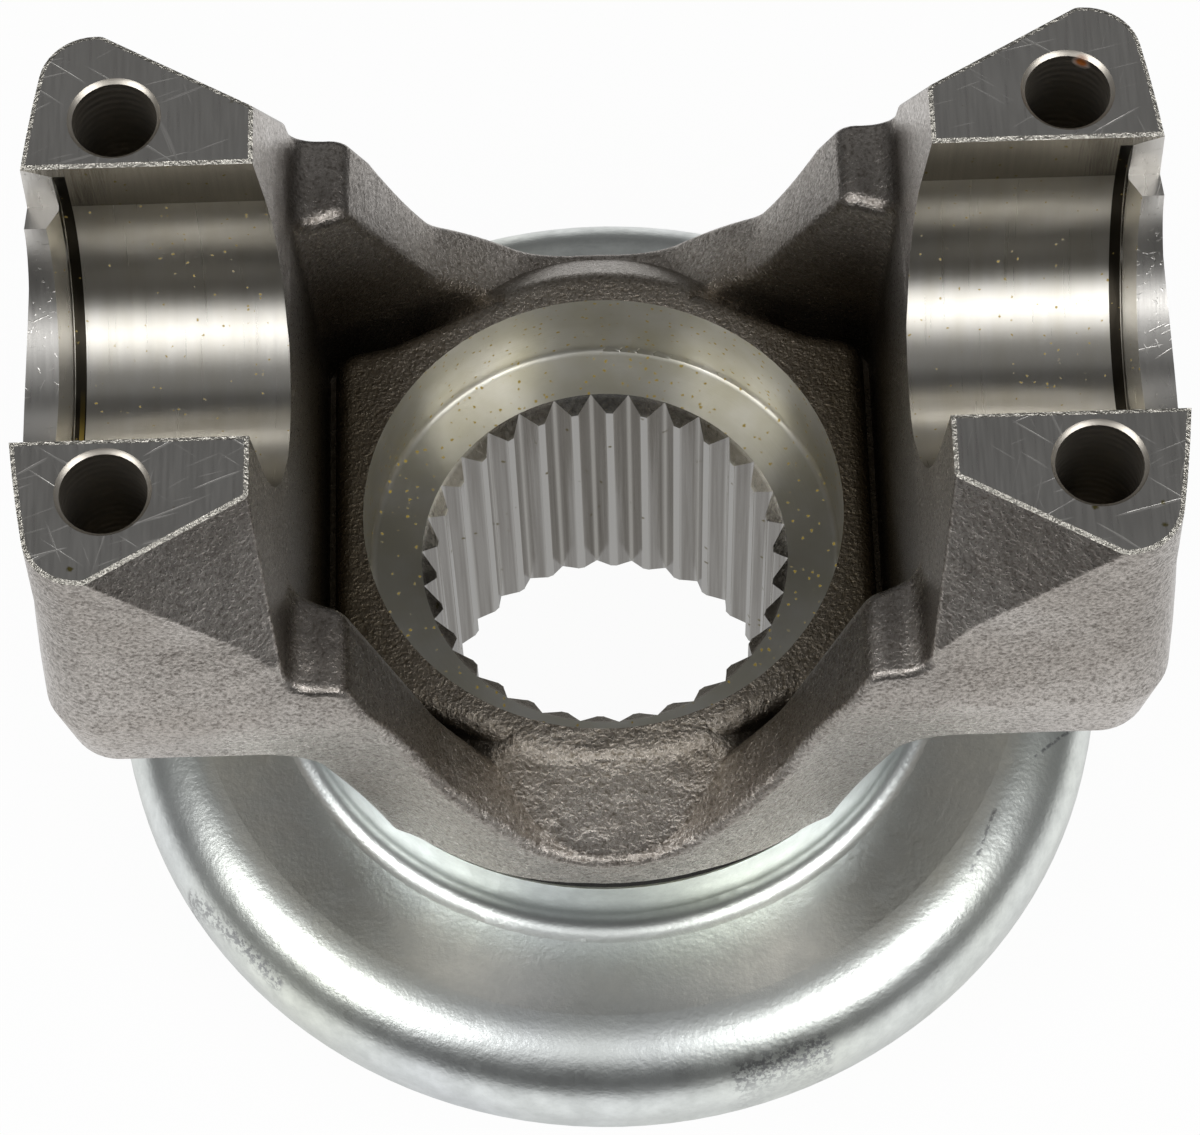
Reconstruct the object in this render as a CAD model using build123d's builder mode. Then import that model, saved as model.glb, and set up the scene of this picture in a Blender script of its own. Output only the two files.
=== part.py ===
from build123d import *
import math
import os

# Pinion end yoke of a propeller shaft: a steel forging with two machined bearing ears,
# and the pressed dust shield that sits on its hub. Millimetres, bore axis up.
# The origin is the middle of the hub's lower end, and X runs from ear to ear.

# Hub, heights from its lower end
hub_length = 42.0
counterbore_depth = 11.0
flange_drop = 5.5
seal_land_radius = 30.4
seal_land_length = 20.0
shield_land_radius = 34.45
land_chamfer = 0.8
end_chamfer = 1.2

# Hub above the flange, flared into the ears, and the wall of the webs in front of it
flange_radius = 36.2
drum_radius = 37.8
drum_flare_radius = 45.0
drum_flare_rise = 0.5
drum_flare_round = 6.0
web_foot_radius = 36.6
web_radius = 38.9
web_blend = 14.0

# Bore
spline_teeth = 30
spline_minor_radius = 18.4
spline_major_radius = 19.9
spline_crest_width = 0.8
spline_lead_in = 1.8
spline_exit_chamfer = 2.0
spline_exit_flare = 0.5
spline_phase = 9.0
counterbore_radius = 25.55
counterbore_floor_round = 0.8

# Square pad round the counterbore
pad_side_wall = 3.05
pad_front_wall = 3.35
pad_corner_inset = 8.6
pad_slant_start_inset = (6.1, 7.7)
pad_slant_end_inset = (19.1, 1.6)
pad_corner_round = 3.0
pad_edge_round = 2.0
pad_slope_foot = 36.0
pad_ramp_top = 10.0
pad_ramp_foot = 20.0
pad_slope_round = 3.0

# Ears and joint axis
axis_rise = 51.1
bolt_face_rise = 7.2
seat_radius = 15.09
metal_under_seat = 17.0
parting_rise = 10.5
waist_below_axis = 7.5
tang_width = 5.4
bolt_land_width = 17.5
end_draft_face = 1.7
end_draft_waist = 1.2
end_draft_lower = 4.7
side_draft_face = 2.2
side_draft_waist = 1.8
side_draft_lower = 4.0
ear_corner_radius = 5.5
ear_crown_radius = 144.0
ear_bottom_round = 2.0
gusset_setback = 2.1
gusset_foot = 24.0
gusset_round = 6.0
seat_width = 19.9
ear_inner_draft = 5.2
ear_inner_lower_draft = 3.0

# Sloping webs between the ears
knob_step = 0.4
knob_width = 5.25
knob_round = 2.5
knob_foot_round = 3.0
crest_rise = 1.9
crest_foot = 6.0
crest_round = 10.0
knee_place = 17.5
knee_rise = 15.6
knee_round = 12.0
crest_outer_round = 1.0
crest_inner_round = 1.8
valley_floor_rise = 4.0
valley_front = 28.9
valley_arc_end = (17.8, 25.6)
valley_corner_round = 1.5

# Facet at each ear's inner shoulder
facet_outer_from_face = 15.2
facet_inner_from_face = 1.1
facet_inner_from_slot = 7.2
facet_lean = 25.8
facet_round = 0.7

# Bearing seats
tang_span = 106.35
relief_width = 1.3
relief_depth = 1.0
tang_radius = 12.6
tang_lead_width = 1.2
tang_lead_depth = 2.0

# Tapped holes for the bearing straps
bolt_spacing_x = 94.0
bolt_spacing_y = 41.4
tap_drill_radius = 4.22
tap_chamfer_radius = 4.65
tapped_depth = 30.0
drill_point_angle = 118.0
drill_chisel_radius = 0.4

# Dust shield
sheet = 1.5
shield_press_clearance = 0.05
collar_gap = 2.0
collar_height = 9.7
collar_foot_round = 2.4
shield_outer_radius = 55.4
shield_shoulder_round = 8.7
shield_depth = 11.4

# Heights worked out from the sizes above
floor_z = hub_length
pad_z = floor_z + counterbore_depth
flange_z = floor_z - flange_drop
crest_z = floor_z + crest_rise
valley_z = floor_z + valley_floor_rise
axis_z = floor_z + axis_rise
face_z = axis_z + bolt_face_rise
waist_z = axis_z - waist_below_axis
seat_bottom_z = axis_z - seat_radius
knob_z = seat_bottom_z - knob_step
underside_z = seat_bottom_z - metal_under_seat
parting_z = underside_z + parting_rise

# Distances worked out from the sizes above
tang_x = tang_span / 2
relief_x = tang_x - relief_width
ear_reach = tang_x + tang_width
ear_inner_face = tang_x - seat_width
ear_half = seat_radius + bolt_land_width
pad_half_width = counterbore_radius + pad_side_wall
pad_front = counterbore_radius + pad_front_wall
pad_slant_start = (pad_half_width - pad_slant_start_inset[0], pad_front - pad_slant_start_inset[1])
pad_slant_end = (pad_half_width - pad_slant_end_inset[0], pad_front - pad_slant_end_inset[1])
facet_outer = (ear_inner_face + facet_outer_from_face, ear_half - side_draft_face)
facet_inner = (ear_inner_face + facet_inner_from_face, seat_radius + facet_inner_from_slot)

# How far a cutting solid reaches past the metal, and how near counts as touching
past = 5.0
touch = 0.001


def slope(angle):
    """Sideways travel for each millimetre of height on a face that leans by this angle."""
    return math.tan(math.radians(angle))


knob_x = ear_inner_face - slope(ear_inner_draft) * (face_z - knob_z)


def forging_section(height, reach, half_width, wall_radius):
    """Plan outline of the forging at a height: crowned ears, and webs that bulge round the hub."""
    crown_drop = ear_crown_radius - math.sqrt(ear_crown_radius**2 - half_width**2)
    corner_x = reach - crown_drop
    with BuildSketch(Plane.XY.offset(height)) as section:
        with BuildLine():
            ThreePointArc((corner_x, -half_width), (reach, 0), (corner_x, half_width))
            Line((corner_x, half_width), (0, half_width))
            Line((corner_x, -half_width), (0, -half_width))
            mirror(about=Plane.YZ)
        make_face()
        Circle(wall_radius)
        fillet(section.vertices().filter_by(lambda v: abs(v.X) < wall_radius), web_blend)
        fillet(section.vertices().filter_by(lambda v: abs(v.X) > corner_x - past), ear_corner_radius)
    return section.sketch


def lies_on(solid):
    """Selector of the edges whose middle lies on a solid's skin."""
    return lambda edge: solid.distance_to(Vertex(edge @ 0.5)) < touch


# Hub, turned below the flange
with BuildPart() as hub:
    with BuildSketch(Plane.XZ):
        with BuildLine():
            Polyline(
                (0, 0),
                (seal_land_radius - end_chamfer, 0),
                (seal_land_radius, end_chamfer),
                (seal_land_radius, seal_land_length),
                (shield_land_radius - land_chamfer, seal_land_length),
                (shield_land_radius, seal_land_length + land_chamfer),
                (shield_land_radius, floor_z),
                (0, floor_z),
                close=True,
            )
        make_face()
    revolve(axis=Axis.Z)

# The open space between the ears, seen from the front: inner faces, knobs and falling crest
with BuildPart() as ear_space:
    with BuildSketch(Plane.XZ):
        with BuildLine():
            crest = FilletPolyline(
                (0, crest_z),
                (crest_foot, crest_z),
                (knee_place, floor_z + knee_rise),
                (knob_x - knob_width, knob_z),
                (knob_x, knob_z),
                (ear_inner_face + slope(ear_inner_draft) * past, face_z + past),
                radius=[crest_round, knee_round, knob_round, knob_foot_round],
            )
            Polyline(crest @ 1, (0, face_z + past), crest @ 0)
        make_face()
        mirror(about=Plane.YZ)
    extrude(amount=ear_reach, both=True)

# The open space under the ears, round the flared drum of the hub
with BuildPart() as under_space:
    with BuildSketch(Plane.XZ):
        with BuildLine():
            underside = FilletPolyline(
                (ear_reach + past, underside_z),
                (ear_inner_face - gusset_setback, underside_z),
                (gusset_foot, flange_z),
                radius=gusset_round,
            )
            Polyline(
                underside @ 1,
                (gusset_foot, flange_z - past),
                (ear_reach + past, flange_z - past),
                underside @ 0,
            )
        make_face()
        mirror(about=Plane.YZ)
    extrude(amount=ear_reach, both=True)
    with BuildSketch(Plane.XZ):
        with BuildLine():
            flare = FilletPolyline(
                (flange_radius, flange_z),
                (drum_radius, underside_z + drum_flare_rise),
                (drum_flare_radius, underside_z + drum_flare_rise),
                radius=drum_flare_round,
            )
            Polyline(
                flare @ 1,
                (drum_flare_radius, underside_z + past),
                (0, underside_z + past),
                (0, flange_z - past),
                (flange_radius, flange_z - past),
                flare @ 0,
            )
        make_face()
    revolve(axis=Axis.Z, mode=Mode.SUBTRACT)

# The narrow valley between the pad, the ears and the webs
with BuildPart() as valley:
    arc_rise = valley_front - valley_arc_end[1]
    valley_slant = 2 * arc_rise * valley_arc_end[0] / (valley_arc_end[0] ** 2 - arc_rise**2)
    for height in (valley_z, knob_z + past):
        side_x = knob_x + slope(ear_inner_lower_draft) * (height - knob_z)
        side_y = valley_arc_end[1] - valley_slant * (side_x - valley_arc_end[0])
        with BuildSketch(Plane.XY.offset(height)) as valley_plan:
            with BuildLine():
                web_side = ThreePointArc(
                    (-valley_arc_end[0], valley_arc_end[1]),
                    (0, valley_front),
                    valley_arc_end,
                )
                Polyline(
                    web_side @ 1,
                    (side_x, side_y),
                    (side_x, 0),
                    (-side_x, 0),
                    (-side_x, side_y),
                    web_side @ 0,
                )
            make_face()
            mirror(about=Plane.XZ)
            corners = valley_plan.vertices().filter_by(
                lambda v: abs(v.X) > side_x - touch and abs(v.Y) > past
            )
            fillet(corners, valley_corner_round)
    loft(ruled=True)

# The square pad
with BuildPart() as pad:
    with BuildSketch(Plane.XY.offset(floor_z - past)) as pad_plan:
        with BuildLine():
            Polyline(
                (0, 0),
                (pad_half_width, 0),
                (pad_half_width, pad_half_width - pad_corner_inset),
                pad_slant_start,
                pad_slant_end,
            )
            ThreePointArc(pad_slant_end, (0, pad_front), (-pad_slant_end[0], pad_slant_end[1]))
            Line((-pad_slant_end[0], pad_slant_end[1]), (0, 0))
        make_face()
        mirror(about=Plane.YZ)
        mirror(about=Plane.XZ)
        corners = pad_plan.vertices().filter_by(lambda v: abs(v.X) > pad_half_width - touch)
        fillet(corners, pad_corner_round)
    extrude(amount=pad_z - floor_z + past)
    fillet(pad.faces().sort_by(Axis.Z)[-1].edges(), pad_edge_round)

# The slopes that fall from the pad to the crest, front and back, with ramps into the valley
with BuildPart() as pad_slopes:
    with BuildSketch(Plane.XZ):
        with BuildLine():
            Polyline(
                (0, floor_z - past),
                (pad_slope_foot, floor_z - past),
                (pad_slope_foot, crest_z),
                (pad_front, pad_z),
                (0, pad_z),
                close=True,
            )
        make_face()
    revolve(axis=Axis.Z)
    with BuildSketch(Plane.XZ):
        with BuildLine():
            Polyline(
                (-pad_ramp_foot, floor_z - past),
                (-pad_ramp_foot, valley_z),
                (-pad_ramp_top, pad_z),
                (pad_ramp_top, pad_z),
                (pad_ramp_foot, valley_z),
                (pad_ramp_foot, floor_z - past),
                close=True,
            )
        make_face()
    extrude(amount=pad_slope_foot, both=True, mode=Mode.INTERSECT)
    ridges = pad_slopes.edges().filter_by(GeomType.ELLIPSE)
    crease = pad_slopes.edges().group_by(Axis.Z)[-1].filter_by(GeomType.CIRCLE)
    fillet(ridges + crease, pad_slope_round)

# Leaning facet between each bolt face and the inner shoulder of its ear
with BuildPart() as facets:
    facet_along = Vector(facet_outer[0] - facet_inner[0], facet_outer[1] - facet_inner[1]).normalized()
    facet_across = facet_along.rotate(Axis.Z, 90)
    facet_plane = Plane(
        origin=(facet_inner[0], facet_inner[1], face_z),
        x_dir=facet_across,
        z_dir=facet_along,
    ).offset(-past)
    facet_reach = ear_half - facet_inner[1] + past
    with BuildSketch(facet_plane):
        with BuildLine():
            Polyline(
                (-slope(facet_lean) * past, past),
                (slope(facet_lean) * (face_z - knob_z), knob_z - face_z),
                (facet_reach, knob_z - face_z),
                (facet_reach, past),
                close=True,
            )
        make_face()
    extrude(amount=ear_reach - facet_inner[0] + past)
    mirror(about=Plane.YZ)
    mirror(about=Plane.XZ)

# The forging as it leaves the dies, its edges rounded as each space is cut
with BuildPart() as blank:
    sections = [
        forging_section(flange_z, ear_reach - end_draft_lower, ear_half - side_draft_lower, web_foot_radius),
        forging_section(parting_z, ear_reach, ear_half, web_radius),
        forging_section(waist_z, ear_reach - end_draft_waist, ear_half - side_draft_waist, web_radius),
        forging_section(face_z, ear_reach - end_draft_face, ear_half - side_draft_face, web_radius),
    ]
    loft(sections, ruled=True)
    add(ear_space.part, mode=Mode.SUBTRACT)
    crest_edges = blank.edges().filter_by(lies_on(ear_space.part)).filter_by(Axis.Y, reverse=True)
    fillet(crest_edges, crest_outer_round)
    add(under_space.part, mode=Mode.SUBTRACT)
    bottom_edges = blank.edges().filter_by(lies_on(under_space.part))
    bottom_edges = bottom_edges.filter_by(lambda e: abs(e.center().Y) > ear_half - side_draft_lower)
    fillet(bottom_edges, ear_bottom_round)
    add(valley.part, mode=Mode.SUBTRACT)
    fillet(blank.edges().filter_by(lies_on(valley.part)).filter_by(lies_on(ear_space.part)), crest_inner_round)
    add(hub.part)
    add(pad.part)
    add(pad_slopes.part)
    add(facets.part, mode=Mode.SUBTRACT)
    facet_edges = blank.edges().filter_by(lies_on(facets.part))
    fillet(facet_edges.filter_by(lambda e: e.center().Z < face_z - touch), facet_round)

# The forging, machined
with BuildPart() as forged_yoke:
    add(blank.part)

    # Slots from the bolt faces down to the joint axis
    with BuildSketch(Plane.XY.offset(axis_z)):
        Rectangle(2 * (ear_reach + past), 2 * seat_radius)
    extrude(amount=face_z - axis_z, mode=Mode.SUBTRACT)

    # Half-round seats
    with BuildSketch(Plane.YZ):
        with Locations((0, axis_z)):
            Circle(seat_radius)
    extrude(amount=relief_x, both=True, mode=Mode.SUBTRACT)

    # Relief grooves beside the tangs, which run out in the slot walls
    for side in (-1, 1):
        with BuildSketch(Plane.YZ.offset(side * tang_x)):
            with Locations((0, axis_z)):
                Circle(seat_radius + relief_depth)
        extrude(amount=-side * relief_width, mode=Mode.SUBTRACT)

    # Locating tangs outside the grooves, bored smaller than the seats, with a lead for the bearing cup
    with BuildSketch(Plane.XZ):
        with BuildLine():
            Polyline(
                (0, axis_z),
                (0, axis_z + tang_radius + tang_lead_depth),
                (tang_x, axis_z + tang_radius + tang_lead_depth),
                (tang_x + tang_lead_width, axis_z + tang_radius),
                (ear_reach + past, axis_z + tang_radius),
                (ear_reach + past, axis_z),
                close=True,
            )
        make_face()
        mirror(about=Plane.YZ)
    revolve(axis=Axis((0, 0, axis_z), (1, 0, 0)), mode=Mode.SUBTRACT)

    # Tapped holes, drilled blind
    point_height = (tap_drill_radius - drill_chisel_radius) / slope(drill_point_angle / 2)
    with Locations(Plane.XY.offset(face_z)):
        with GridLocations(bolt_spacing_x, bolt_spacing_y, 2, 2):
            CounterSinkHole(
                radius=tap_drill_radius,
                counter_sink_radius=tap_chamfer_radius,
                depth=tapped_depth,
                counter_sink_angle=90,
            )
    with Locations(Plane.XY.offset(face_z - tapped_depth - point_height / 2)):
        with GridLocations(bolt_spacing_x, bolt_spacing_y, 2, 2):
            Cone(drill_chisel_radius, tap_drill_radius, point_height, mode=Mode.SUBTRACT)

    # Counterbore, bore at the tips of the teeth, and the cones that open its two ends
    with BuildSketch(Plane.XZ) as bore_profile:
        with BuildLine():
            Polyline(
                (0, -past),
                (spline_major_radius + spline_exit_flare, -past),
                (spline_major_radius + spline_exit_flare, 0),
                (spline_minor_radius, spline_exit_chamfer),
                (spline_minor_radius, floor_z - spline_lead_in),
                (spline_major_radius, floor_z),
                (counterbore_radius, floor_z),
                (counterbore_radius, pad_z + past),
                (0, pad_z + past),
                close=True,
            )
        make_face()
        wall_ends = bore_profile.vertices().filter_by(lambda v: v.X > counterbore_radius - touch)
        fillet(wall_ends.sort_by(Axis.Z)[0], counterbore_floor_round)
    revolve(axis=Axis.Z, mode=Mode.SUBTRACT)

    # Tooth spaces
    pitch_angle = 360 / spline_teeth
    space_half = spline_minor_radius * math.sin(math.radians(pitch_angle / 2)) - spline_crest_width / 2
    with BuildSketch(Plane.XY, mode=Mode.PRIVATE) as tooth_space:
        with BuildLine():
            Polyline(
                (0, space_half),
                (spline_minor_radius, space_half),
                (spline_major_radius, 0),
                (spline_minor_radius, -space_half),
                (0, -space_half),
                close=True,
            )
        make_face()
    with BuildSketch(Plane.XY):
        with PolarLocations(0, spline_teeth, start_angle=spline_phase):
            add(tooth_space.sketch)
    extrude(amount=floor_z, mode=Mode.SUBTRACT)
forged_yoke.part.label = "forged_yoke"

# The shield, one pressed sheet: collar, dish, rolled shoulder and rim
with BuildPart() as dust_shield:
    collar_inner = shield_land_radius + shield_press_clearance
    collar_top = flange_z - collar_gap
    dish_top = collar_top - collar_height
    with BuildSketch(Plane.XZ):
        with BuildLine():
            outside = FilletPolyline(
                (collar_inner + sheet, collar_top),
                (collar_inner + sheet, dish_top),
                (shield_outer_radius, dish_top),
                (shield_outer_radius, dish_top - shield_depth),
                radius=[collar_foot_round, shield_shoulder_round],
            )
            offset(amount=sheet, side=Side.RIGHT)
        make_face()
    revolve(axis=Axis.Z)
dust_shield.part.label = "dust_shield"

os.makedirs("parts", exist_ok=True)
for piece in (forged_yoke, dust_shield):
    export_step(piece.part, f"parts/{piece.part.label}.step")
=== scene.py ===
import math

import bmesh
import bpy
from mathutils import Matrix, Vector


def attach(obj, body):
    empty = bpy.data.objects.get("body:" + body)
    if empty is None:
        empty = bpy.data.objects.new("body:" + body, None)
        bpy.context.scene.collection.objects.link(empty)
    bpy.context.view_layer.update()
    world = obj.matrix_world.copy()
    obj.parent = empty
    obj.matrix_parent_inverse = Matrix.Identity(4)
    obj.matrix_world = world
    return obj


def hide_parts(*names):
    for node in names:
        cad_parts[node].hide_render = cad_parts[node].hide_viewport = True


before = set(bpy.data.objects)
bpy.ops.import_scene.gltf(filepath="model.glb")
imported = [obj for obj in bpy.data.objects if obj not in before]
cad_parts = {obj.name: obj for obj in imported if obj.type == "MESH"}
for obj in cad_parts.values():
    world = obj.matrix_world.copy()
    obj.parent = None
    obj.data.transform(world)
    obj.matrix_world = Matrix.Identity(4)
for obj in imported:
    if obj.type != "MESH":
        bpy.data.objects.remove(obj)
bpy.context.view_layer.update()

# The pinion yoke and its dust shield, dressed for the photograph's view.
# Metres, the frame of the CAD model: bore axis up, ear to ear along X, the camera in front at -Y.

MM = 0.001

# Heights and sizes of the yoke, in millimetres
FLANGE_Z = 36.5
FLOOR_Z = 42.0
PAD_Z = 53.0
AXIS_Z = 93.1
FACE_Z = 100.3
SEAT_R = 15.09
RELIEF_R = SEAT_R + 1.0
TANG_R = 12.6
TANG_X = 53.175
RELIEF_X = 51.875
EAR_FACE_X = 31.0
COUNTERBORE_R = 25.55
SPLINE_OUTER_R = 20.5
FLANK_R = 19.1
HOLE_X = 47.0
HOLE_Y = 20.7
HOLE_R = 4.65
HOLE_DEPTH = 34.0
THREAD_PITCH = 1.058

# How near a face counts as lying on a machined surface, and the angle past which an edge is sharp
NEAR = 0.05
SHARP_DEGREES = 22

# The torn strip round the bolt faces: its width, and how far its outer edge is rubbed down
FACE_BURR = 0.45
FACE_BURR_DROP = 0.16

# Widths of the patterns on the surfaces, in millimetres
GRAIN_MM = 0.42
DENT_MM = 2.4
FORGING_PATCH_MM = 12.0
BURR_CRUMB_MM = 0.5
SPECK_WOBBLE_MM = 0.35
FACE_CLOUD_MM = 7.0
OIL_CLOUD_MM = 6.0
SCRAPE_CRUMB_MM = 0.7
ZINC_MOTTLE_MM = 3.2
ZINC_CLOUD_MM = 26.0
ZINC_GRAIN_MM = 0.5

# Real tool lines and fine scratches are about 0.1 mm wide, too fine to show, so they are drawn coarser
MILLED_LINE_MM = 0.35
SIDE_MILLED_LINE_MM = 0.45
SCRATCH_MM = 0.4
BORED_LINE_MM = 0.4
BROACHED_LINE_MM = 0.5
TURNED_RING_MM = 0.4

# Places of single marks, in millimetres: rust in one hole, the relief grooves made darker, and a line of oil
# in them
RUST_SPOT = (48.8, 24.8, 99.2)
DARK_GROOVE_X = 52.5
DARK_GROOVE_HALF_WIDTH = 0.62
OIL_LINE_X = 52.4
OIL_LINE_HALF_WIDTH = 0.24

# Painted shade low down in the recesses, in millimetres: each pair is the two places between which the shade
# fades
SHADE_TOP = (62.0, 90.0)
SHADE_TO_EARS = (33.2, 35.0)
SHADE_TO_WEBS = (25.0, 34.0)
SHADE_BESIDE_PAD = (12.0, 27.0)

# The painted shadow in the gap under the flange's front lip, in millimetres
LIP_SHADOW_MIDDLE_X = 3.0
LIP_SHADOW_HALF_WIDTHS = (6.0, 15.0)
LIP_SHADOW_HEIGHT = 1.3
LIP_SHADOW_BACK_Y = -25.0

# Middles of the oily bore mouth and of the lumpy front of the pad, in millimetres
BORE_MOUTH = (0.0, 0.0, 50.0)
PAD_FRONT = (0.0, -31.0, 48.0)

# Directions of the scratches on the milled faces, in degrees
SCRATCH_DEGREES = (14.0, 22.0, 31.0, -36.0, 74.0, -70.0)

# Scrapes on the shield: ends of each in mm, and half its width
SCRAPES = (
    ((-47.0, -29.0), (-37.0, -40.0), 0.8),
    ((52.0, -13.0), (47.0, -17.5), 0.25),
    ((42.0, -24.0), (39.0, -31.0), 0.3),
    ((13.0, -52.5), (22.0, -49.5), 1.6),
)

# The photograph's camera, solved from the part's holes, edges and rings
IMAGE_WIDTH_PX = 1200
FOCAL_PX = 4241.8
SENSOR_MM = 36.0
CAMERA_AZIMUTH = -0.394
CAMERA_ELEVATION = 63.813
CAMERA_ROLL = -2.038
CAMERA_EYE_MM = (0.84, -204.59, 454.96)

# Two softboxes, in metres, and the point that they look at
SOFTBOX_DISTANCE = 0.8
SOFTBOX_SIDE = 0.46
SOFTBOX_RADIANCE = 3.8
LIT_POINT = (0.0, 0.0, 0.06)

# The table: its half size in metres, and how much of it glows to the camera; the rest takes the shadow
TABLE_HALF_SIZE = 3.0
TABLE_GLOW = 0.96

# The table's glow in reflections, a painted pool of light round the part with painted shadow under it:
# distances from the bore axis, in metres, between which it rises and fades
GLOW_RISES = (0.04, 0.075)
GLOW_FADES = (0.11, 0.21)

# The room's brightness by the angle over the part, from the front table edge (0) to the back (180)
ROOM_BANDS = (
    (0, 0.04), (28, 0.05), (38, 0.2), (45, 0.7), (66, 0.7), (76, 0.4), (88, 0.28), (102, 0.22),
    (110, 0.09), (124, 0.08), (134, 0.3), (150, 0.26), (165, 0.14), (180, 0.12),
)
SIDE_GLOW = 0.14


def hex_colour(text):
    """An sRGB hex colour as linear red, green, blue and alpha."""
    channels = [int(text[i:i + 2], 16) / 255 for i in (0, 2, 4)]
    linear = [c / 12.92 if c <= 0.04045 else ((c + 0.055) / 1.055) ** 2.4 for c in channels]
    return (*linear, 1.0)


def add_camera():
    """The photograph's camera: where it stood, where it looked, and its roll."""
    azimuth = math.radians(CAMERA_AZIMUTH)
    elevation = math.radians(CAMERA_ELEVATION)
    roll = math.radians(CAMERA_ROLL)
    forward = Vector((
        math.sin(azimuth) * math.cos(elevation),
        math.cos(azimuth) * math.cos(elevation),
        -math.sin(elevation),
    ))
    level = Vector((math.cos(azimuth), -math.sin(azimuth), 0.0))
    upright = level.cross(forward)
    across = level * math.cos(roll) + upright * math.sin(roll)
    up = upright * math.cos(roll) - level * math.sin(roll)
    data = bpy.data.cameras.new("camera")
    data.sensor_fit = "HORIZONTAL"
    data.sensor_width = SENSOR_MM
    data.lens = FOCAL_PX / IMAGE_WIDTH_PX * SENSOR_MM
    data.clip_start = 0.01
    data.clip_end = 20.0
    camera = bpy.data.objects.new("camera", data)
    turn = Matrix((across, up, -forward)).transposed().to_4x4()
    camera.matrix_world = Matrix.Translation(Vector(CAMERA_EYE_MM) * MM) @ turn
    bpy.context.scene.collection.objects.link(camera)
    bpy.context.scene.camera = camera


def add_node(tree, kind, inputs=None, **settings):
    """Add one node, set its properties, and set its inputs or link them to other nodes' first outputs."""
    node = tree.nodes.new("ShaderNode" + kind)
    for name, value in settings.items():
        setattr(node, name, value)
    for socket, value in (inputs or {}).items():
        if isinstance(value, bpy.types.Node):
            value = next(output for output in value.outputs if output.enabled)
        if isinstance(value, bpy.types.NodeSocket):
            tree.links.new(value, node.inputs[socket])
        else:
            node.inputs[socket].default_value = value
    return node


def new_material(name):
    """A material with an empty tree, and the object's coordinates in millimetres."""
    material = bpy.data.materials.new(name)
    material.use_nodes = True
    tree = material.node_tree
    tree.nodes.clear()
    coordinates = add_node(tree, "TexCoord")
    place = add_node(tree, "Mapping", {"Vector": coordinates.outputs["Object"], "Scale": (1 / MM,) * 3})
    return material, tree, place


def oil_specks(tree, place, spacing_mm, share):
    """Dried specks of oil, one in some of the cells of a random grid: 1 on a speck, 0 between."""
    wobble = add_node(tree, "TexNoise", {"Vector": place, "Scale": 1 / SPECK_WOBBLE_MM, "Detail": 1.0})
    shifted = add_node(tree, "VectorMath", {0: wobble.outputs["Color"], 1: (0.4,) * 3}, operation="MULTIPLY")
    uneven = add_node(tree, "VectorMath", {0: place, 1: shifted}, operation="ADD")
    cells = add_node(tree, "TexVoronoi", {"Vector": uneven, "Scale": 1 / spacing_mm})
    dots = add_node(tree, "MapRange", {
        "Value": cells.outputs["Distance"], "From Min": 0.12, "From Max": 0.24, "To Min": 1.0, "To Max": 0.0,
    })
    pick = add_node(tree, "SeparateColor", {"Color": cells.outputs["Color"]})
    chosen = add_node(tree, "Math", {0: pick.outputs["Red"], 1: 1 - share}, operation="GREATER_THAN")
    return add_node(tree, "Math", {0: dots, 1: chosen}, operation="MULTIPLY")


def scratches(tree, place, share):
    """Fine straight scratches in a level face, along a few directions: 1 in a scratch, 0 between."""
    total = None
    for angle in SCRATCH_DEGREES:
        turned = add_node(tree, "Mapping", {
            "Vector": place,
            "Location": (angle, 2 * angle, 0.0),
            "Rotation": (0.0, 0.0, math.radians(angle)),
            "Scale": (30.0, 1.0, 1.0),
        }, vector_type="TEXTURE")
        streaks = add_node(tree, "TexNoise", {"Vector": turned, "Scale": 1 / SCRATCH_MM, "Detail": 1.0})
        lines = add_node(tree, "MapRange", {
            "Value": streaks, "From Min": 1 - share, "From Max": 1 - share + 0.05,
        })
        if total is None:
            total = lines
        else:
            total = add_node(tree, "Math", {0: total, 1: lines}, operation="MAXIMUM")
    return total


def painted_recess_shade(tree, axes):
    """Painted shade, low down between ears, webs and pad: 1 there, 0 in the open."""
    across = add_node(tree, "Math", {0: axes.outputs["X"]}, operation="ABSOLUTE")
    along = add_node(tree, "Math", {0: axes.outputs["Y"]}, operation="ABSOLUTE")
    low = add_node(tree, "MapRange", {
        "Value": axes.outputs["Z"], "From Min": SHADE_TOP[0], "From Max": SHADE_TOP[1],
        "To Min": 1.0, "To Max": 0.0,
    })
    inside_ears = add_node(tree, "MapRange", {
        "Value": across, "From Min": SHADE_TO_EARS[0], "From Max": SHADE_TO_EARS[1],
        "To Min": 1.0, "To Max": 0.0,
    })
    inside_webs = add_node(tree, "MapRange", {
        "Value": along, "From Min": SHADE_TO_WEBS[0], "From Max": SHADE_TO_WEBS[1],
        "To Min": 1.0, "To Max": 0.0,
    })
    beside_pad = add_node(tree, "MapRange", {
        "Value": across, "From Min": SHADE_BESIDE_PAD[0], "From Max": SHADE_BESIDE_PAD[1],
        "To Min": 0.35, "To Max": 1.0,
    })
    recess_shade = add_node(tree, "Math", {0: low, 1: inside_ears}, operation="MULTIPLY")
    recess_shade = add_node(tree, "Math", {0: recess_shade, 1: inside_webs}, operation="MULTIPLY")
    return add_node(tree, "Math", {0: recess_shade, 1: beside_pad}, operation="MULTIPLY")


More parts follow.
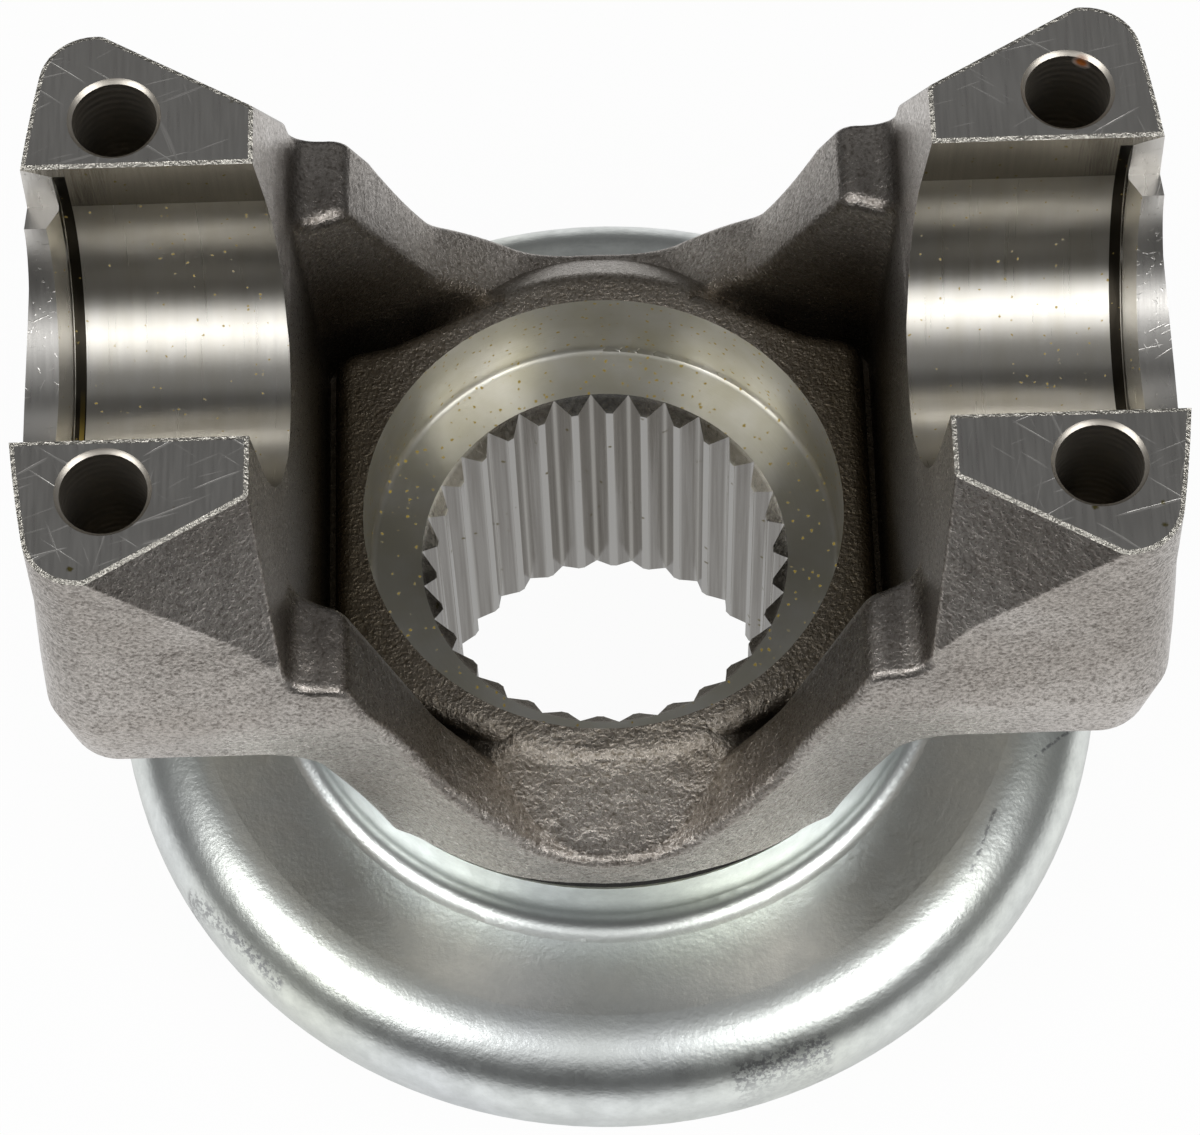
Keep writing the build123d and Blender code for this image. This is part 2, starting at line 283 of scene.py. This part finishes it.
def painted_lip_shadow(tree, axes):
    """A painted shadow: the thin dark line of the gap to the shield's collar at the front: 1 in it, 0
    elsewhere.
    """
    sideways = add_node(tree, "Math", {0: axes.outputs["X"], 1: -LIP_SHADOW_MIDDLE_X}, operation="ADD")
    sideways = add_node(tree, "Math", {0: sideways}, operation="ABSOLUTE")
    height = add_node(tree, "MapRange", {
        "Value": sideways, "From Min": LIP_SHADOW_HALF_WIDTHS[0], "From Max": LIP_SHADOW_HALF_WIDTHS[1],
        "To Min": LIP_SHADOW_HEIGHT, "To Max": 0.0,
    })
    above_lip = add_node(tree, "Math", {0: axes.outputs["Z"], 1: FLANGE_Z}, operation="SUBTRACT")
    in_lip_shadow = add_node(tree, "Math", {0: above_lip, 1: height}, operation="LESS_THAN")
    in_front = add_node(tree, "Math", {0: axes.outputs["Y"], 1: LIP_SHADOW_BACK_Y}, operation="LESS_THAN")
    return add_node(tree, "Math", {0: in_lip_shadow, 1: in_front}, operation="MULTIPLY")


def shot_blasted_forging():
    """Hot forged steel, shot blasted: bare grey metal, peened all over. Painted shade darkens the recesses
    low down and the gap under the flange's front lip, and, with scale, the pits of the grain.
    """
    material, tree, place = new_material("shot_blasted_forging")
    grain = add_node(tree, "TexNoise", {
        "Vector": place, "Scale": 1 / GRAIN_MM, "Detail": 4.0, "Roughness": 0.62,
    })
    dents = add_node(tree, "TexNoise", {"Vector": place, "Scale": 1 / DENT_MM, "Detail": 3.0})
    patches = add_node(tree, "TexNoise", {
        "Vector": place, "Scale": 1 / FORGING_PATCH_MM, "Detail": 3.0,
    })
    worn = add_node(tree, "MapRange", {"Value": patches, "From Min": 0.38, "From Max": 0.62})
    metal = add_node(tree, "Mix", {
        0: worn, 6: hex_colour("b2aba4"), 7: hex_colour("c0bab4"),
    }, data_type="RGBA")
    # Darker in the low points of the grain: painted shade in the pits, with scale left in them
    pits = add_node(tree, "MapRange", {
        "Value": grain, "From Min": 0.32, "From Max": 0.54, "To Min": 0.8, "To Max": 0.0,
    })
    pitted = add_node(tree, "Mix", {0: pits, 6: metal, 7: hex_colour("5a524a")}, data_type="RGBA")

    axes = add_node(tree, "SeparateXYZ", {"Vector": place})
    # Painted shade in the recesses, towards a dark brown
    shade = add_node(tree, "Math", {0: painted_recess_shade(tree, axes), 1: 0.88}, operation="MULTIPLY")
    colour = add_node(tree, "Mix", {0: shade, 6: pitted, 7: hex_colour("3c362f")}, data_type="RGBA")
    from_bore = add_node(tree, "VectorMath", {0: place, 1: BORE_MOUTH}, operation="DISTANCE")
    oily = add_node(tree, "MapRange", {
        "Value": from_bore.outputs["Value"], "From Min": 30.0, "From Max": 40.0, "To Min": 0.2, "To Max": 0.0,
    })
    colour = add_node(tree, "Mix", {0: oily, 6: colour, 7: hex_colour("86764e")}, data_type="RGBA")
    # Painted shadow in the gap under the flange's front lip, near black
    in_lip_shadow = painted_lip_shadow(tree, axes)
    colour = add_node(tree, "Mix", {0: in_lip_shadow, 6: colour, 7: hex_colour("14110e")}, data_type="RGBA")
    roughness = add_node(tree, "MapRange", {
        "Value": grain, "From Min": 0.4, "From Max": 0.65, "To Min": 0.36, "To Max": 0.24,
    })
    from_front = add_node(tree, "VectorMath", {0: place, 1: PAD_FRONT}, operation="DISTANCE")
    lumps = add_node(tree, "MapRange", {
        "Value": from_front.outputs["Value"], "From Min": 3.0, "From Max": 26.0,
        "To Min": 0.6 * MM, "To Max": 0.2 * MM,
    })
    coarse = add_node(tree, "MapRange", {
        "Value": from_bore.outputs["Value"], "From Min": 32.0, "From Max": 44.0,
        "To Min": 0.22 * MM, "To Max": 0.11 * MM,
    })
    peened = add_node(tree, "Bump", {"Height": dents, "Distance": lumps})
    relief = add_node(tree, "Bump", {"Height": grain, "Distance": coarse, "Normal": peened})
    # The painted shadow line is rough and not metal, so that it stays dark
    dulled = add_node(tree, "Math", {0: roughness, 1: in_lip_shadow}, operation="MAXIMUM")
    bare = add_node(tree, "Math", {0: 1.0, 1: in_lip_shadow}, operation="SUBTRACT")
    shader = add_node(tree, "BsdfPrincipled", {
        "Base Color": colour, "Roughness": dulled, "Metallic": bare, "Normal": relief,
    })
    add_node(tree, "OutputMaterial", {"Surface": shader})
    return material


def milled_face():
    """Face milled steel: satin grey, with fine scratches that cross and a few specks of oil."""
    material, tree, place = new_material("milled_steel")
    feed = add_node(tree, "Mapping", {"Vector": place, "Scale": (1.0, 0.06, 0.06)})
    lines = add_node(tree, "TexNoise", {"Vector": feed, "Scale": 1 / MILLED_LINE_MM, "Detail": 2.0})
    cloud = add_node(tree, "TexNoise", {"Vector": place, "Scale": 1 / FACE_CLOUD_MM, "Detail": 2.0})
    marks = scratches(tree, place, share=0.28)
    tone = add_node(tree, "Mix", {
        0: cloud, 6: hex_colour("cfccc7"), 7: hex_colour("dfddd9"),
    }, data_type="RGBA")
    specks = oil_specks(tree, place, spacing_mm=1.6, share=0.05)
    colour = add_node(tree, "Mix", {0: specks, 6: tone, 7: hex_colour("8d8350")}, data_type="RGBA")
    satin = add_node(tree, "MapRange", {
        "Value": lines, "From Min": 0.3, "From Max": 0.7, "To Min": 0.27, "To Max": 0.33,
    })
    roughness = add_node(tree, "MapRange", {"Value": marks, "To Min": satin, "To Max": 0.38})
    relief = add_node(tree, "Bump", {"Height": lines, "Distance": 0.008 * MM})
    cut = add_node(tree, "Bump", {"Height": marks, "Distance": 0.015 * MM, "Normal": relief}, invert=True)
    shader = add_node(tree, "BsdfPrincipled", {
        "Base Color": colour, "Roughness": roughness, "Metallic": 1.0, "Normal": cut,
    })
    add_node(tree, "OutputMaterial", {"Surface": shader})
    return material


def side_milled_wall():
    """The slot walls above the seats, cut by the side of the cutter: duller, with upright marks."""
    material, tree, place = new_material("side_milled_steel")
    upright = add_node(tree, "Mapping", {"Vector": place, "Scale": (1.0, 1.0, 0.06)})
    lines = add_node(tree, "TexNoise", {
        "Vector": upright, "Scale": 1 / SIDE_MILLED_LINE_MM, "Detail": 2.0, "Roughness": 0.6,
    })
    tone = add_node(tree, "Mix", {
        0: lines, 6: hex_colour("8f8a80"), 7: hex_colour("aaa59a"),
    }, data_type="RGBA")
    specks = oil_specks(tree, place, spacing_mm=0.9, share=0.16)
    colour = add_node(tree, "Mix", {0: specks, 6: tone, 7: hex_colour("857a3c")}, data_type="RGBA")
    relief = add_node(tree, "Bump", {"Height": lines, "Distance": 0.05 * MM})
    shader = add_node(tree, "BsdfPrincipled", {
        "Base Color": colour, "Roughness": 0.24, "Metallic": 1.0, "Normal": relief,
    })
    add_node(tree, "OutputMaterial", {"Surface": shader})
    return material


def burred_edge():
    """Steel torn up along a milled edge: a narrow, rough line that sparkles."""
    material, tree, place = new_material("burred_steel")
    crumbs = add_node(tree, "TexNoise", {
        "Vector": place, "Scale": 1 / BURR_CRUMB_MM, "Detail": 3.0, "Roughness": 0.6,
    })
    relief = add_node(tree, "Bump", {"Height": crumbs, "Distance": 0.6 * MM})
    shader = add_node(tree, "BsdfPrincipled", {
        "Base Color": hex_colour("dedad0"), "Roughness": 0.34, "Metallic": 1.0, "Normal": relief,
    })
    add_node(tree, "OutputMaterial", {"Surface": shader})
    return material


def bored_seat():
    """Bored steel bearing seat: nearly a mirror along the bore, drawn out across fine turning lines."""
    material, tree, place = new_material("bored_steel")
    round_bore = add_node(tree, "Mapping", {"Vector": place, "Scale": (1.0, 0.02, 0.02)})
    lines = add_node(tree, "TexNoise", {
        "Vector": round_bore, "Scale": 1 / BORED_LINE_MM, "Detail": 2.0, "Roughness": 0.6,
    })
    smears = add_node(tree, "Mapping", {"Vector": place, "Scale": (0.5, 0.14, 0.14)})
    film = add_node(tree, "TexNoise", {"Vector": smears, "Scale": 1.0, "Detail": 3.0})
    specks = oil_specks(tree, place, spacing_mm=0.65, share=0.16)
    steel = add_node(tree, "Mix", {
        0: film, 6: hex_colour("c4bfb2"), 7: hex_colour("d6d4d0"),
    }, data_type="RGBA")
    axes = add_node(tree, "SeparateXYZ", {"Vector": place})
    across = add_node(tree, "Math", {0: axes.outputs["X"]}, operation="ABSOLUTE")
    # The relief grooves made darker all over
    groove = add_node(tree, "Math", {0: across, 1: DARK_GROOVE_X, 2: DARK_GROOVE_HALF_WIDTH}, operation="COMPARE")
    left = add_node(tree, "Math", {0: axes.outputs["X"], 1: 0.0}, operation="LESS_THAN")
    near_half = add_node(tree, "MapRange", {
        "Value": axes.outputs["Y"], "From Min": -3.0, "From Max": 3.0, "To Min": 1.0, "To Max": 0.0,
    })
    groove_middle = add_node(tree, "Math", {
        0: across, 1: OIL_LINE_X, 2: OIL_LINE_HALF_WIDTH,
    }, operation="COMPARE")
    oiled = add_node(tree, "Math", {0: left, 1: near_half}, operation="MULTIPLY")
    oiled = add_node(tree, "Math", {0: oiled, 1: groove_middle}, operation="MULTIPLY")
    grooves_darkened = add_node(tree, "Mix", {0: groove, 6: steel, 7: hex_colour("3a362f")}, data_type="RGBA")
    oil = add_node(tree, "Math", {0: specks, 1: oiled}, operation="MAXIMUM")
    colour = add_node(tree, "Mix", {0: oil, 6: grooves_darkened, 7: hex_colour("a8924a")}, data_type="RGBA")
    bare = add_node(tree, "Math", {0: 1.0, 1: specks}, operation="SUBTRACT")
    shine = add_node(tree, "MapRange", {
        "Value": lines, "From Min": 0.3, "From Max": 0.7, "To Min": 0.27, "To Max": 0.33,
    })
    relief = add_node(tree, "Bump", {"Height": lines, "Distance": 0.006 * MM})
    across_lines = add_node(tree, "CombineXYZ", {"X": 1.0})
    shader = add_node(tree, "BsdfPrincipled", {
        "Base Color": colour, "Roughness": shine, "Metallic": bare, "Normal": relief,
        "Anisotropic": 0.9, "Tangent": across_lines,
    })
    add_node(tree, "OutputMaterial", {"Surface": shader})
    return material


def broached_spline():
    """Broached steel teeth: satin grey, lighter at crest and root from wear and a painted highlight, with
    lines drawn along them.
    """
    material, tree, place = new_material("broached_steel")
    drawn = add_node(tree, "Mapping", {"Vector": place, "Scale": (1.0, 1.0, 0.02)})
    lines = add_node(tree, "TexNoise", {
        "Vector": drawn, "Scale": 1 / BROACHED_LINE_MM, "Detail": 3.0, "Roughness": 0.6,
    })
    specks = oil_specks(tree, place, spacing_mm=1.2, share=0.08)
    axes = add_node(tree, "SeparateXYZ", {"Vector": place})
    level = add_node(tree, "CombineXYZ", {"X": axes.outputs["X"], "Y": axes.outputs["Y"]})
    radius = add_node(tree, "VectorMath", {0: level}, operation="LENGTH")
    from_flank = add_node(tree, "Math", {0: radius.outputs["Value"], 1: FLANK_R}, operation="SUBTRACT")
    from_flank = add_node(tree, "Math", {0: from_flank}, operation="ABSOLUTE")
    # Lighter at crest and root: wear, and a painted highlight on the tooth edges
    wear_and_highlight = add_node(tree, "MapRange", {"Value": from_flank, "From Min": 0.4, "From Max": 0.65})
    streaks = add_node(tree, "MapRange", {
        "Value": lines, "From Min": 0.36, "From Max": 0.62, "To Min": 0.0, "To Max": 0.35,
    })
    tone = add_node(tree, "Math", {0: wear_and_highlight, 1: streaks}, operation="MAXIMUM")
    steel = add_node(tree, "Mix", {
        0: tone, 6: hex_colour("b2aea8"), 7: hex_colour("ebe9e5"),
    }, data_type="RGBA")
    colour = add_node(tree, "Mix", {0: specks, 6: steel, 7: hex_colour("7d7038")}, data_type="RGBA")
    satin = add_node(tree, "MapRange", {
        "Value": lines, "From Min": 0.3, "From Max": 0.7, "To Min": 0.15, "To Max": 0.26,
    })
    relief = add_node(tree, "Bump", {"Height": lines, "Distance": 0.03 * MM})
    shader = add_node(tree, "BsdfPrincipled", {
        "Base Color": colour, "Roughness": satin, "Metallic": 1.0, "Normal": relief,
    })
    add_node(tree, "OutputMaterial", {"Surface": shader})
    return material


def turned_bore():
    """Turned steel under an oil film: satin rings round the bore axis, with an olive cast."""
    material, tree, place = new_material("turned_steel")
    axes = add_node(tree, "SeparateXYZ", {"Vector": place})
    level = add_node(tree, "CombineXYZ", {"X": axes.outputs["X"], "Y": axes.outputs["Y"]})
    radius = add_node(tree, "VectorMath", {0: level}, operation="LENGTH")
    section = add_node(tree, "CombineXYZ", {"X": radius, "Z": axes.outputs["Z"]})
    rings = add_node(tree, "TexNoise", {"Vector": section, "Scale": 1 / TURNED_RING_MM, "Detail": 2.0})
    cloud = add_node(tree, "TexNoise", {"Vector": place, "Scale": 1 / OIL_CLOUD_MM, "Detail": 3.0})
    oil = add_node(tree, "MapRange", {"Value": cloud, "From Min": 0.35, "From Max": 0.62})
    film = add_node(tree, "Mix", {
        0: oil, 6: hex_colour("d6d4cc"), 7: hex_colour("cbc8ba"),
    }, data_type="RGBA")
    specks = oil_specks(tree, place, spacing_mm=0.95, share=0.6)
    colour = add_node(tree, "Mix", {0: specks, 6: film, 7: hex_colour("b89f42")}, data_type="RGBA")
    bare = add_node(tree, "Math", {0: 1.0, 1: specks}, operation="SUBTRACT")
    satin = add_node(tree, "MapRange", {
        "Value": rings, "From Min": 0.3, "From Max": 0.7, "To Min": 0.28, "To Max": 0.36,
    })
    relief = add_node(tree, "Bump", {"Height": rings, "Distance": 0.02 * MM})
    outward = add_node(tree, "VectorMath", {0: level}, operation="NORMALIZE")
    across_rings = add_node(tree, "VectorMath", {0: outward, 1: (0.0, 0.0, 1.0)}, operation="ADD")
    shader = add_node(tree, "BsdfPrincipled", {
        "Base Color": colour, "Roughness": satin, "Metallic": bare, "Normal": relief,
        "Anisotropic": 0.9, "Tangent": across_rings,
    })
    add_node(tree, "OutputMaterial", {"Surface": shader})
    return material


def tapped_hole():
    """Tapped steel: the thread as ridges round each hole, a spot of rust in one."""
    material, tree, place = new_material("tapped_steel")
    axes = add_node(tree, "SeparateXYZ", {"Vector": place})
    turns = add_node(tree, "Math", {
        0: axes.outputs["Z"], 1: 2 * math.pi / THREAD_PITCH,
    }, operation="MULTIPLY")
    ridge = add_node(tree, "Math", {0: turns}, operation="SINE")
    relief = add_node(tree, "Bump", {"Height": ridge, "Distance": 0.03 * MM})
    from_rust = add_node(tree, "VectorMath", {0: place, 1: RUST_SPOT}, operation="DISTANCE")
    rust = add_node(tree, "MapRange", {
        "Value": from_rust.outputs["Value"], "From Min": 0.5, "From Max": 1.1, "To Min": 1.0, "To Max": 0.0,
    })
    bare = add_node(tree, "Math", {0: 1.0, 1: rust}, operation="SUBTRACT")
    colour = add_node(tree, "Mix", {
        0: rust, 6: hex_colour("c4beb4"), 7: hex_colour("8a4f22"),
    }, data_type="RGBA")
    shader = add_node(tree, "BsdfPrincipled", {
        "Base Color": colour, "Roughness": 0.38, "Metallic": bare, "Normal": relief,
    })
    add_node(tree, "OutputMaterial", {"Surface": shader})
    return material


def handling_marks(tree, place):
    """Scrapes where the shield was knocked or dragged: 1 in a scrape, broken up by a fine grain."""
    axes = add_node(tree, "SeparateXYZ", {"Vector": place})
    flat = add_node(tree, "CombineXYZ", {"X": axes.outputs["X"], "Y": axes.outputs["Y"]})
    crumbs = add_node(tree, "TexNoise", {
        "Vector": place, "Scale": 1 / SCRAPE_CRUMB_MM, "Detail": 4.0, "Roughness": 0.7,
    })
    broken = add_node(tree, "MapRange", {"Value": crumbs, "From Min": 0.46, "From Max": 0.54})
    total = None
    for start, end, width in SCRAPES:
        along = Vector(end) - Vector(start)
        offset = add_node(tree, "VectorMath", {0: flat, 1: (*start, 0.0)}, operation="SUBTRACT")
        travel = add_node(tree, "VectorMath", {
            0: offset, 1: (along.x / along.length_squared, along.y / along.length_squared, 0.0),
        }, operation="DOT_PRODUCT")
        near = add_node(tree, "Clamp", {"Value": travel.outputs["Value"]})
        reached = add_node(tree, "VectorMath", {0: (*along, 0.0), "Scale": near}, operation="SCALE")
        gap = add_node(tree, "VectorMath", {0: offset, 1: reached}, operation="DISTANCE")
        mark = add_node(tree, "MapRange", {
            "Value": gap.outputs["Value"], "From Min": 0.3 * width, "From Max": width,
            "To Min": 1.0, "To Max": 0.0,
        })
        if total is None:
            total = mark
        else:
            total = add_node(tree, "Math", {0: total, 1: mark}, operation="MAXIMUM")
    return add_node(tree, "Math", {0: total, 1: broken}, operation="MULTIPLY")


def zinc_plate():
    """Pressed sheet steel, bright zinc plated: cool silver grey, softly mottled, dulled by handling."""
    material, tree, place = new_material("zinc_plated_steel")
    mottle = add_node(tree, "TexNoise", {
        "Vector": place, "Scale": 1 / ZINC_MOTTLE_MM, "Detail": 5.0, "Roughness": 0.7,
    })
    cloud = add_node(tree, "TexNoise", {"Vector": place, "Scale": 1 / ZINC_CLOUD_MM, "Detail": 1.0})
    grain = add_node(tree, "TexNoise", {"Vector": place, "Scale": 1 / ZINC_GRAIN_MM, "Detail": 2.0})
    cast = add_node(tree, "Mix", {
        0: cloud, 6: hex_colour("dfe3ec"), 7: hex_colour("eaeee0"),
    }, data_type="RGBA")
    dull = add_node(tree, "MapRange", {
        "Value": mottle, "From Min": 0.36, "From Max": 0.64, "To Min": 0.0, "To Max": 0.34,
    })
    colour = add_node(tree, "Mix", {0: dull, 6: cast, 7: hex_colour("aeb2b0")}, data_type="RGBA")
    satin = add_node(tree, "MapRange", {
        "Value": mottle, "From Min": 0.3, "From Max": 0.7, "To Min": 0.29, "To Max": 0.38,
    })
    worn = add_node(tree, "Mix", {
        0: handling_marks(tree, place), 6: colour, 7: hex_colour("a3a5a5"),
    }, data_type="RGBA")
    waves = add_node(tree, "Bump", {"Height": mottle, "Distance": 0.06 * MM})
    relief = add_node(tree, "Bump", {"Height": grain, "Distance": 0.02 * MM, "Normal": waves})
    shader = add_node(tree, "BsdfPrincipled", {
        "Base Color": worn, "Roughness": satin, "Metallic": 1.0, "Normal": relief,
    })
    add_node(tree, "OutputMaterial", {"Surface": shader})
    return material


def yoke_finish(centre, normal):
    """The machined or forged finish of a face of the yoke, from its middle in mm and its normal."""
    x, y, z = abs(centre.x), abs(centre.y), centre.z
    radius = math.hypot(x, y)
    hole_gap = math.hypot(x - HOLE_X, y - HOLE_Y)
    axis_gap = math.hypot(y, z - AXIS_Z)
    if z > FACE_Z - NEAR:
        return "milled"
    if hole_gap < HOLE_R + NEAR and z > FACE_Z - HOLE_DEPTH:
        return "tapped"
    if x > EAR_FACE_X and y < RELIEF_R + NEAR and z > AXIS_Z - RELIEF_R - NEAR:
        # The ears' forged end faces look along X, so the limits on the normal keep them out
        if x > TANG_X + NEAR and axis_gap < RELIEF_R and abs(normal.x) < 0.7:
            return "milled"
        if RELIEF_X - NEAR < x < TANG_X + NEAR and axis_gap < RELIEF_R + NEAR:
            return "bored"
        if z > AXIS_Z - NEAR and axis_gap > TANG_R and abs(normal.x) < 0.5:
            return "side_milled" if abs(normal.y) > 0.7 else "milled"
        if axis_gap < RELIEF_R + NEAR and abs(normal.x) < 0.9:
            return "bored"
    if radius < SPLINE_OUTER_R and z < FLOOR_Z - NEAR:
        return "broached"
    if radius < COUNTERBORE_R + NEAR and z < PAD_Z - NEAR:
        return "turned"
    if z < FLANGE_Z + NEAR:
        return "turned"
    return "forged"


def raise_burr(shape, tapped, burred):
    """Inset the level bolt faces, and leave a torn strip that falls a little along their outer edges."""
    region = [face for face in shape.faces if face.calc_center_median().z > (FACE_Z - NEAR) * MM]
    strips = bmesh.ops.inset_region(
        shape, faces=region, thickness=FACE_BURR * MM, use_boundary=True, use_even_offset=True,
    )["faces"]
    inner = set(region)
    for strip in strips:
        outside = [
            face for edge in strip.edges for face in edge.link_faces
            if face not in inner and face.normal.z < 0.9
        ]
        if any(face.material_index != tapped for face in outside):
            strip.material_index = burred
            for edge in strip.edges:
                if any(face in outside for face in edge.link_faces):
                    for vert in edge.verts:
                        vert.co.z = (FACE_Z - FACE_BURR_DROP) * MM


def true_normal(finish, place, computed):
    """The exact normal of a round machined face at a place in mm, or the computed one elsewhere."""
    if finish == "bored":
        exact = Vector((0.0, -place.y, AXIS_Z - place.z)).normalized()
    elif finish == "tapped":
        middle = Vector((math.copysign(HOLE_X, place.x), math.copysign(HOLE_Y, place.y), place.z))
        exact = (middle - place).normalized()
    else:
        outward = Vector((place.x, place.y, 0.0)).normalized()
        turn = math.copysign(math.sqrt(max(0.0, 1 - computed.z ** 2)), computed.dot(outward))
        exact = outward * turn + Vector((0.0, 0.0, computed.z))
    return exact if exact.dot(computed) > 0.98 else computed


def set_true_normals(mesh, round_finishes):
    """Give the round machined faces exact corner normals, so that reflections run smoothly round them."""
    normals = [Vector(corner.vector) for corner in mesh.corner_normals]
    for face in mesh.polygons:
        finish = round_finishes.get(face.material_index)
        if finish:
            for index in face.loop_indices:
                place = mesh.vertices[mesh.loops[index].vertex_index].co / MM
                normals[index] = true_normal(finish, place, normals[index])
    mesh.normals_split_custom_set(normals)


def dress_yoke():
    """The yoke from a merged copy of its solid, each face in the finish that its process leaves."""
    finishes = {
        "forged": shot_blasted_forging(),
        "milled": milled_face(),
        "side_milled": side_milled_wall(),
        "bored": bored_seat(),
        "broached": broached_spline(),
        "turned": turned_bore(),
        "tapped": tapped_hole(),
        "burred": burred_edge(),
    }
    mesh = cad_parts["forged_yoke"].data.copy()
    mesh.name = "yoke"
    mesh.materials.clear()
    for material in finishes.values():
        mesh.materials.append(material)
    slots = list(finishes)
    shape = bmesh.new()
    shape.from_mesh(mesh)
    bmesh.ops.remove_doubles(shape, verts=shape.verts, dist=1e-6)
    for face in shape.faces:
        face.smooth = True
        face.material_index = slots.index(yoke_finish(face.calc_center_median() / MM, face.normal))
    raise_burr(shape, slots.index("tapped"), slots.index("burred"))
    for edge in shape.edges:
        one_finish = len({face.material_index for face in edge.link_faces}) == 1
        edge.smooth = one_finish and edge.calc_face_angle(0.0) < math.radians(SHARP_DEGREES)
    shape.to_mesh(mesh)
    shape.free()
    set_true_normals(mesh, {slots.index(finish): finish for finish in ("bored", "tapped", "turned")})
    yoke = bpy.data.objects.new("yoke", mesh)
    bpy.context.scene.collection.objects.link(yoke)
    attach(yoke, "root")
    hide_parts("forged_yoke")


def dress_shield():
    """The shield as its solid gives it, in zinc plate."""
    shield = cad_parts["dust_shield"]
    shield.data.materials.clear()
    shield.data.materials.append(zinc_plate())


def add_softbox(name, azimuth, elevation):
    """A square softbox that looks at the part from an azimuth, 0 on the camera's side, and an elevation."""
    data = bpy.data.lights.new(name, "AREA")
    data.shape = "SQUARE"
    data.size = SOFTBOX_SIDE
    data.energy = SOFTBOX_RADIANCE * math.pi * SOFTBOX_SIDE * SOFTBOX_SIDE
    lamp = bpy.data.objects.new(name, data)
    around, rise = math.radians(azimuth), math.radians(elevation)
    away = Vector((
        math.sin(around) * math.cos(rise),
        -math.cos(around) * math.cos(rise),
        math.sin(rise),
    ))
    turn = away.to_track_quat("Z", "Y").to_matrix().to_4x4()
    lamp.matrix_world = Matrix.Translation(Vector(LIT_POINT) + away * SOFTBOX_DISTANCE) @ turn
    bpy.context.scene.collection.objects.link(lamp)


def add_floor():
    """A white table with a trace of the part's shadow. In reflections it is a painted pool of light: painted
    shadow under the part, white near it, then fading.
    """
    bm = bmesh.new()
    bmesh.ops.create_grid(bm, x_segments=1, y_segments=1, size=TABLE_HALF_SIZE)
    mesh = bpy.data.meshes.new("floor")
    bm.to_mesh(mesh)
    bm.free()
    floor = bpy.data.objects.new("floor", mesh)
    bpy.context.scene.collection.objects.link(floor)
    material = bpy.data.materials.new("white_table")
    material.use_nodes = True
    tree = material.node_tree
    tree.nodes.clear()
    path = add_node(tree, "LightPath")
    coordinates = add_node(tree, "TexCoord")
    reach = add_node(tree, "VectorMath", {0: coordinates.outputs["Object"]}, operation="LENGTH")
    # Painted shadow under the part and a painted pool of light round it, seen only in reflections
    shadow_under_part = add_node(tree, "MapRange", {
        "Value": reach, "From Min": GLOW_RISES[0], "From Max": GLOW_RISES[1],
        "To Min": 0.38, "To Max": 1.0,
    })
    far = add_node(tree, "MapRange", {
        "Value": reach, "From Min": GLOW_FADES[0], "From Max": GLOW_FADES[1],
        "To Min": 1.0, "To Max": 0.05,
    })
    lit = add_node(tree, "Math", {0: shadow_under_part, 1: far}, operation="MULTIPLY")
    mirrored = add_node(tree, "Math", {
        0: path.outputs["Is Glossy Ray"], 1: path.outputs["Is Transmission Ray"],
    }, operation="MAXIMUM")
    direct = add_node(tree, "Math", {
        0: path.outputs["Is Camera Ray"], 1: TABLE_GLOW,
    }, operation="MULTIPLY")
    share = add_node(tree, "Math", {0: mirrored, 1: direct}, operation="MAXIMUM")
    strength = add_node(tree, "Math", {
        0: mirrored, 1: lit, 2: path.outputs["Is Camera Ray"],
    }, operation="MULTIPLY_ADD")
    paper = add_node(tree, "BsdfDiffuse", {"Color": hex_colour("f2f2f0")})
    glow = add_node(tree, "Emission", {"Color": (1.0, 1.0, 1.0, 1.0), "Strength": strength})
    mixed = add_node(tree, "MixShader", {0: share, 1: paper, 2: glow})
    add_node(tree, "OutputMaterial", {"Surface": mixed})
    mesh.materials.append(material)


def add_room():
    """A studio room as bands of soft light over the part, a little brighter at both sides."""
    world = bpy.data.worlds.new("room")
    bpy.context.scene.world = world
    world.use_nodes = True
    tree = world.node_tree
    tree.nodes.clear()
    ray = add_node(tree, "TexCoord")
    axes = add_node(tree, "SeparateXYZ", {"Vector": ray.outputs["Generated"]})
    front = add_node(tree, "Math", {0: axes.outputs["Y"], 1: -1.0}, operation="MULTIPLY")
    angle = add_node(tree, "Math", {0: axes.outputs["Z"], 1: front}, operation="ARCTAN2")
    share = add_node(tree, "Math", {0: angle, 1: math.pi}, operation="DIVIDE")
    bands = add_node(tree, "ValToRGB", {"Fac": share})
    stops = bands.color_ramp.elements
    stops.remove(stops[1])
    for number, (degrees, glow) in enumerate(ROOM_BANDS):
        stop = stops[0] if number == 0 else stops.new(degrees / 180)
        stop.position = degrees / 180
        stop.color = (glow, glow, glow, 1.0)
    width = add_node(tree, "Math", {0: axes.outputs["X"]}, operation="ABSOLUTE")
    side = add_node(tree, "MapRange", {"Value": width, "From Min": 0.6, "From Max": 0.9})
    mixed = add_node(tree, "Mix", {
        0: side, 6: bands, 7: (SIDE_GLOW, SIDE_GLOW, SIDE_GLOW, 1.0),
    }, data_type="RGBA")
    light = add_node(tree, "Background", {"Color": mixed, "Strength": 1.0})
    add_node(tree, "OutputWorld", {"Surface": light})


add_camera()
dress_yoke()
dress_shield()
add_floor()
add_room()
add_softbox("left_softbox", azimuth=-60, elevation=42)
add_softbox("right_softbox", azimuth=52, elevation=44)
bpy.context.scene.view_settings.view_transform = "Standard"
